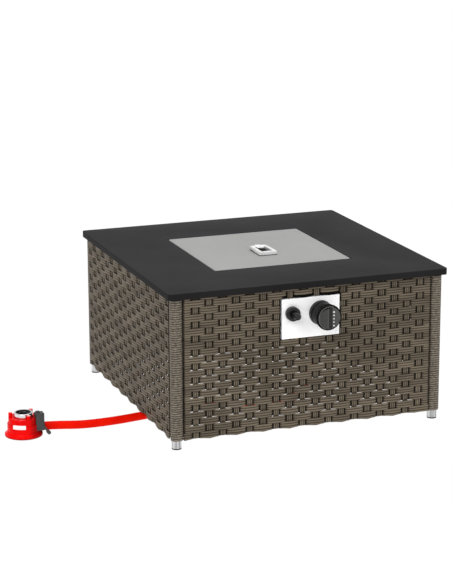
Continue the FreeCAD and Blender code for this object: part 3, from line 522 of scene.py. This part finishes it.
def weftRow(row, count, spans, stakes, panel, above):
    made = []
    for start, end, hooks in spans:
        points, sizes = weftPoints(start, end, stakes, row, hooks)
        made.append(sweep("weft", points, ribs[count], sizes=sizes))
    # The outer left edge gets no painted shade, as the gap beside the post is dark enough.
    ends = [(edge, hook) for start, end, hooks in spans for edge, hook in zip((start, end), hooks)]
    edges = [edge for edge, hook in ends if hook and edge > -panel["half"]]
    rule = weftShade(weave["cordWidth"] * count, count, edges, panel["dip"], above)
    return markShade(joinAll(made, "weftRow"), rule)


def weftRows(stakes, panel, hole):
    # Each kind of row is made once, and copies of it go up the panel. The top row is a single cord.
    half, hooked = panel["half"], panel["hooked"]
    strands, rowSets = [], {}
    for row in range(weave["rows"]):
        count = 1 if row == weave["rows"] - 1 else 3
        cut = bool(hole) and hole["firstRow"] <= row <= hole["lastRow"]
        above = hole if hole and row == hole["lastRow"] + 1 else None
        key = (row % 2, count, cut, row == 0, bool(above))
        if key not in rowSets:
            reach = half + (weave["footReach"] if hooked and row == 0 else 0)
            spans = [(-reach, reach, (hooked, hooked))]
            if cut:
                spans = [(-half, hole["left"], (hooked, 1)), (hole["right"], half, (1, hooked))]
            rowSets[key] = weftRow(row, count, spans, stakes, panel, above)
        strand = duplicate(rowSets[key])
        strand.location.z = rowHeight(row) + weave["rowPitch"] * (0.5 if count == 3 else 1 / 6)
        strands.append(strand)
    for row in rowSets.values():
        bpy.data.objects.remove(row)
    return strands


def uprightStakes(stakes, panel, hole):
    # Stakes sway in and out with the rows, and stop below and above the opening.
    stops = (-weave["tuckReach"], 0, weave["tuckReach"], 0.5)
    rowSteps = {round(rowHeight(row + stop), 6) for row in range(weave["rows"] + 1) for stop in stops}
    uprights = []
    for k, stake in enumerate(stakes):
        spans = [(weave["low"], weave["high"])]
        if hole and hole["left"] < stake < hole["right"]:
            spans = [(weave["low"], rowHeight(hole["firstRow"])),
                     (rowHeight(hole["lastRow"] + 1), weave["high"])]
        for low, high in spans:
            points = []
            for height in sorted(spot for spot in {low, high} | rowSteps if low <= spot <= high):
                row = (height - weave["rowStart"]) / weave["rowPitch"] - 0.5
                swing = math.cos(math.pi * (row + k))
                points.append((height, weave["stakeDepth"] - weave["stakeSwing"] * swing - weave["face"], 0))
            upright = markShade(sweep("stake", points, stakeRibs), stakeShade(panel["edgeShade"]))
            upright.rotation_euler = (0, -math.pi / 2, 0)
            upright.location.x = stake
            uprights.append(upright)
    return uprights


def weavePanel(name, angle, panel, hole=None):
    stakes = [panel["stakePitch"] * (k - (weave["stakes"] - 1) / 2) for k in range(weave["stakes"])]
    strands, uprights = weftRows(stakes, panel, hole), uprightStakes(stakes, panel, hole)
    made = []
    for pieces, label, material in ((strands, "weft", panel["cord"]), (uprights, "stakes", "cordZ")):
        piece = joinAll(pieces, label + name)
        piece.rotation_euler = (0, 0, math.radians(angle))
        settle(piece, label + name)
        smooth(dress(piece, finish[material]), roundAngle)
        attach(piece, "table")
        made.append(piece)
    for piece in made:
        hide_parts("wicker_" + name.lower())
    print("woven panel", name, sum(len(piece.data.polygons) for piece in made), "faces")


weavePanel("Front", 0, frontPanel, opening)
weavePanel("Back", 180, frontPanel)
weavePanel("Left", -90, sidePanel)
weavePanel("Right", 90, sidePanel)

# Posts wound with a single cord.
postSetup = {"middleX": 0.327, "middleY": 0.330, "width": 0.030, "depth": 0.024, "corner": 0.0115,
             "low": 0.0219, "pitch": 0.00551, "turns": 61, "thick": 0.0024, "fill": 0.98,
             "grooveDepth": 0.0007, "grooveReach": 0.4}


def roundedLoop(width, depth, corner, steps=5):
    points = []
    for i, (sx, sy) in enumerate(((1, 1), (-1, 1), (-1, -1), (1, -1))):
        for step in range(steps + 1):
            angle = math.pi / 2 * (i + step / steps)
            points.append((sx * (width / 2 - corner) + math.cos(angle) * corner,
                           sy * (depth / 2 - corner) + math.sin(angle) * corner, 0))
    return points


cordProfile = ribProfile("cordRound", postSetup["pitch"] * postSetup["fill"], postSetup["thick"], 1,
                         postSetup["grooveDepth"])
loopInset = postSetup["thick"] / 2
loop = sweep("postTurn", roundedLoop(postSetup["width"] - 2 * loopInset, postSetup["depth"] - 2 * loopInset,
                                     postSetup["corner"] - loopInset), cordProfile, closed=True)
loop.location.z = postSetup["low"] + postSetup["pitch"] / 2
# Painted shade in the grooves between the turns of cord.
markShade(loop, lambda co: grooveShade(co.z, postSetup["pitch"], 1, postSetup["grooveReach"]))
settle(loop, "postTurn")
useModifier(loop, "ARRAY", count=postSetup["turns"], use_relative_offset=False, use_constant_offset=True,
            constant_offset_displace=(0, 0, postSetup["pitch"]))
windings = []
for sx in (-1, 1):
    for sy in (-1, 1):
        winding = duplicate(loop)
        winding.location = (sx * postSetup["middleX"], sy * postSetup["middleY"], 0)
        windings.append(winding)
bpy.data.objects.remove(loop)
windings = smooth(dress(joinAll(windings, "postWindings"), finish["postCord"]), roundAngle)
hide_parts("post_wraps")
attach(windings, "table")
for profile in [*ribs.values(), stakeRibs, cordProfile]:
    bpy.data.objects.remove(profile)
print("posts wound")

# Metal and moulded pieces with softened edges.
softSetup = {"mergeBelow": 0.00001, "flatBelow": 1, "roundAbove": 40}


def softCopy(nodeName, name, material, width, body="table", segments=2):
    # A merged copy of the frame's own solid takes a bevel, and stands for it.
    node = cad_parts[nodeName]
    piece = node.copy()
    piece.data = node.data.copy()
    piece.parent = None
    piece.matrix_world = Matrix.Identity(4)
    scene.collection.objects.link(piece)
    pick(piece)
    bpy.ops.object.mode_set(mode="EDIT")
    bpy.ops.mesh.select_all(action="SELECT")
    bpy.ops.mesh.remove_doubles(threshold=softSetup["mergeBelow"])
    bpy.ops.mesh.dissolve_limited(angle_limit=math.radians(softSetup["flatBelow"]))
    bpy.ops.object.mode_set(mode="OBJECT")
    roundEdges(piece, width, segments, softSetup["roundAbove"])
    settle(piece, name)
    smooth(dress(piece, finish[material]), solidAngle)
    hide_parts(nodeName)
    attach(piece, body)
    return piece


def paint(piece, materials, rule):
    # rule picks a material for each face from the face's middle and normal.
    piece.data.materials.clear()
    for material in materials:
        piece.data.materials.append(finish[material])
    for face in piece.data.polygons:
        face.material_index = int(rule(face.center, face.normal))


# The slab's edge starts a little below its top, and the gasket shows as a thin line round the ring.
slabSetup = {"edgeStart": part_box("table_top")[1][2] - 0.0004, "edgeTilt": 0.8}
gasketSetup = {"wider": 1.04, "deeper": 1.02, "middleY": -0.0405}
slabTop = softCopy("table_top", "tableTopSheet", "slab", width=0.0012, segments=3)
# The slab's edges take the darker copy of its paint, as painted shade.
paint(slabTop, ("slab", "slabEdgeShade"),
      lambda middle, normal: middle.z < slabSetup["edgeStart"] and normal.z < slabSetup["edgeTilt"])
softCopy("lid", "lidTray", "lidGrey", width=0.0008, body="lid")
softCopy("control_panel", "controlPlate", "whitePlate", width=0.0006)
softCopy("lid_handle_ring", "handleRing", "handleSteel", width=0.0007, body="lid_handle")
gasket = softCopy("lid_handle_pad", "handleGasket", "blackPad", width=0.0002, body="lid")
for vertex in gasket.data.vertices:
    vertex.co.x *= gasketSetup["wider"]
    vertex.co.y = gasketSetup["middleY"] + (vertex.co.y - gasketSetup["middleY"]) * gasketSetup["deeper"]
softCopy("lid_handle_bracket", "handleBracket", "handleSteel", width=0.0003, body="lid")
print("sheet metal softened")

# Control knob with its index marks, and the igniter beside it. Each mark has its height over the knob's middle
# and its radius. The tilts are limits for a face's normal.
knobSetup = {"middle": (0.026, -0.387, 0.297), "seat": -0.3526, "swell": 0.055, "stretch": 0.0095,
             "faceRadius": 0.0260, "rimWide": 0.0009, "rimTilt": (-0.995, -0.78), "sideTilt": -0.1,
             "gripTilt": 0.15, "bezelLip": 0.0022, "markColumn": 0.0105, "markDepth": 0.0008,
             "markEdge": 0.0002, "highlightRadius": 0.0271, "highlightThick": 0.00045, "highlightAhead": 0.0002,
             "highlightCut": (0.94, 0, -0.34),
             "marks": ((0.0135, 0.0021), (0.0055, 0.0017), (-0.0025, 0.0015), (-0.0105, 0.0015),
                       (-0.0190, 0.0017))}
knobX, knobY, knobZ = knobSetup["middle"]
knobFaceY = knobY - knobSetup["stretch"]
knobParts = ("knobFace", "knobSide", "knobRim", "gripDark", "gripLight")


def fromKnobAxis(co):
    return math.hypot(co.x - knobX, co.z - knobZ)


# Painted light and shade: grip slopes facing +x are painted dark and those facing -x light, the sides are
# painted dark, and a thin band at the face's edge is a painted highlight.
def knobRule(middle, normal):
    part = "knobFace"
    if normal.x > knobSetup["gripTilt"]:
        part = "gripDark"
    elif normal.x < -knobSetup["gripTilt"]:
        part = "gripLight"
    away = fromKnobAxis(middle)
    if away > knobSetup["faceRadius"] or normal.y > knobSetup["sideTilt"]:
        part = "knobSide"
    rimLow, rimHigh = knobSetup["rimTilt"]
    if abs(away - knobSetup["faceRadius"]) < knobSetup["rimWide"] and rimLow < normal.y < rimHigh:
        part = "knobRim"
    return knobParts.index(part)


knobShell = softCopy("control_knob", "knobShell", "knobFace", width=0.0005, body="knob")
for vertex in knobShell.data.vertices:
    # The moulded shell swells a little towards its front.
    ahead = (knobSetup["seat"] - vertex.co.y) / (knobSetup["seat"] - knobY)
    for axis in (0, 2):
        vertex.co[axis] += (vertex.co[axis] - knobSetup["middle"][axis]) * knobSetup["swell"] * min(1, ahead)
    vertex.co.y -= knobSetup["stretch"] * max(0, ahead)
paint(knobShell, knobParts, knobRule)
bezel = softCopy("knob_bezel", "knobBezel", "bezelBlack", width=0.0012, segments=3)
bezelLow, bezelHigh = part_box("knob_bezel")
bezelEdge = (bezelHigh[0] - bezelLow[0]) / 2 - knobSetup["bezelLip"]
# Inside its lip the bezel takes the knob's dark side finish, as painted shade next to the knob.
paint(bezel, ("bezelBlack", "knobSide"), lambda middle, normal: fromKnobAxis(middle) < bezelEdge)
marks = []
for height, radius in knobSetup["marks"]:
    clearSelection()
    bpy.ops.mesh.primitive_cylinder_add(
        vertices=24, radius=radius, depth=knobSetup["markDepth"], rotation=(math.pi / 2, 0, 0),
        location=(knobX + knobSetup["markColumn"], knobFaceY, knobZ + height))
    marks.append(bpy.context.object)
marks = joinAll(marks, "knobMarks")
# A painted highlight: a thin bright arc along the upper left edge of the knob's face.
clearSelection()
bpy.ops.mesh.primitive_torus_add(
    major_radius=knobSetup["highlightRadius"], minor_radius=knobSetup["highlightThick"], major_segments=72,
    minor_segments=8, rotation=(math.pi / 2, 0, 0), location=(knobX, knobFaceY + knobSetup["highlightAhead"], knobZ))
knobHighlight = settle(bpy.context.object, "knobPaintedHighlight")
bpy.ops.object.mode_set(mode="EDIT")
bpy.ops.mesh.select_all(action="SELECT")
bpy.ops.mesh.bisect(plane_co=knobSetup["middle"], plane_no=knobSetup["highlightCut"], clear_outer=True,
                    use_fill=True)
bpy.ops.object.mode_set(mode="OBJECT")
smooth(dress(knobHighlight, finish["knobRim"]), roundAngle)
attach(knobHighlight, "knob")
roundEdges(marks, knobSetup["markEdge"], 2, roundAngle)
smooth(dress(marks, finish["markWhite"]), solidAngle)
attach(marks, "knob")
softCopy("igniter_bezel", "igniterNut", "igniterBlack", width=0.0016, segments=3)
softCopy("igniter_button", "igniterCap", "igniterBlack", width=0.0022, body="igniter_button", segments=4)
print("controls made")

# Gas regulator: gloss red body, bare label, bright collar and grey switch. Its red takes three painted shades:
# footShade and stepShade are a darkness and its reach, and sideShade a darkness and the cosines between which
# it comes on.
regulatorSetup = {"x": -0.633, "y": -0.1025, "steps": (0.0185, 0.0300, 0.0450), "footShade": (0.85, 0.003),
                  "stepShade": (0.16, 0.0012), "sideShade": (0.6, 0.55, 0.95), "sideTurn": -35,
                  "sideFrom": 0.02, "underside": 0.0009, "pinTip": 0.0541, "boreTilt": 0.004}
labelSetup = {"turn": -120, "radius": 0.0388, "low": 0.0240, "high": 0.0332, "edge": 0.0003,
              "cutterAway": 0.043, "cutterHigh": 0.03, "cutterSize": (0.020, 0.031, 0.1)}


def redShade(co):
    # Painted shade: darker at the foot, in the steps and on the side that the switch shades.
    x, y = co.x - regulatorSetup["x"], co.y - regulatorSetup["y"]
    dark, reach = regulatorSetup["footShade"]
    foot = dark * max(0, 1 - co.z / reach)
    dark, reach = regulatorSetup["stepShade"]
    step = dark * max(0, 1 - min(abs(co.z - level) for level in regulatorSetup["steps"]) / reach)
    dark, low, high = regulatorSetup["sideShade"]
    turned = math.atan2(y, x) - math.radians(regulatorSetup["sideTurn"])
    side = dark * soften(math.cos(turned), low, high) * (math.hypot(x, y) > regulatorSetup["sideFrom"])
    return max(foot, step, side)


cover = softCopy("regulator_cover", "regulatorFlange", "red", width=0.0009, segments=3)
# The flange's underside is painted deep red, as painted shade.
paint(cover, ("red", "deepRed"), lambda middle, normal: middle.z < regulatorSetup["underside"])
body = softCopy("regulator_body", "regulatorShell", "red", width=0.0008, segments=3)
# The pins' top faces are painted pale pink, as a painted highlight.
paint(body, ("red", "pinTip"), lambda middle, normal: middle.z > regulatorSetup["pinTip"])
for piece in (cover, body):
    markShade(piece, redShade)
# The label is the part of a disc that a block cuts out.
clearSelection()
bpy.ops.mesh.primitive_cylinder_add(
    vertices=96, radius=labelSetup["radius"], depth=labelSetup["high"] - labelSetup["low"],
    location=(regulatorSetup["x"], regulatorSetup["y"], (labelSetup["high"] + labelSetup["low"]) / 2))
labelPlate = bpy.context.object
labelTurn = math.radians(labelSetup["turn"])
clearSelection()
bpy.ops.mesh.primitive_cube_add(
    size=1, rotation=(0, 0, labelTurn),
    location=(regulatorSetup["x"] + labelSetup["cutterAway"] * math.cos(labelTurn),
              regulatorSetup["y"] + labelSetup["cutterAway"] * math.sin(labelTurn), labelSetup["cutterHigh"]))
labelCutter = bpy.context.object
labelCutter.scale = labelSetup["cutterSize"]
useModifier(labelPlate, "BOOLEAN", operation="INTERSECT", solver="EXACT", object=labelCutter)
bpy.data.objects.remove(labelCutter)
roundEdges(labelPlate, labelSetup["edge"], 2, roundAngle)
settle(labelPlate, "bareLabel")
smooth(dress(labelPlate, finish["label"]), solidAngle)
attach(labelPlate, "table")


def boreRule(middle, normal):
    # The faces that look in towards the socket's axis are painted dark, as shade inside the bore.
    inward = (regulatorSetup["x"] - middle.x) * normal.x + (regulatorSetup["y"] - middle.y) * normal.y
    return inward > regulatorSetup["boreTilt"]


lockCollar = softCopy("regulator_lock_ring", "lockCollar", "chrome", width=0.0009, body="lock_ring", segments=3)
socketWall = softCopy("regulator_socket", "socketWall", "chrome", width=0.0005)
for piece in (lockCollar, socketWall):
    paint(piece, ("chrome", "socketDark"), boreRule)
ferrule = softCopy("regulator_outlet", "hoseFerrule", "deepRed", width=0.0006)
switchHousing = softCopy("regulator_switch", "switchHousing", "switchGrey", width=0.0014, segments=3)
switchLever = softCopy("regulator_lever", "switchLever", "switchGrey", width=0.0012, body="lever", segments=3)
print("regulator finished")

# Finishes for the frame's own nodes.
nodeFinish = {
    "blackSteel": ["burner_pan", "heat_shield", "top_bearers", "top_rails", "bottom_rails", "panel_stiles",
                   "panel_bracket", "corner_post_front_left", "corner_post_front_right", "corner_post_back_left",
                   "corner_post_back_right"],
    "footSteel": ["foot_front_left", "foot_front_right", "foot_back_left", "foot_back_right"],
    "bright": ["lid_handle_rivets"],
    "whitePlate": ["panel_screws"],
    "blackPad": ["foot_pad_front_left", "foot_pad_front_right", "foot_pad_back_left",
                 "foot_pad_back_right", "post_plugs", "igniter_wire", "igniter_body"],
    "brass": ["gas_valve_body", "valve_plug", "gas_jet", "hose_union", "supply_pipe"],
    "plainSteel": ["valve_stem", "burner_ring", "burner_locknut", "air_mixer", "thermocouple"],
    "ceramic": ["spark_electrode"],
}
for materialName, nodeNames in nodeFinish.items():
    for nodeName in nodeNames:
        dress(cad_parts[nodeName], finish[materialName])
print("node finishes set")
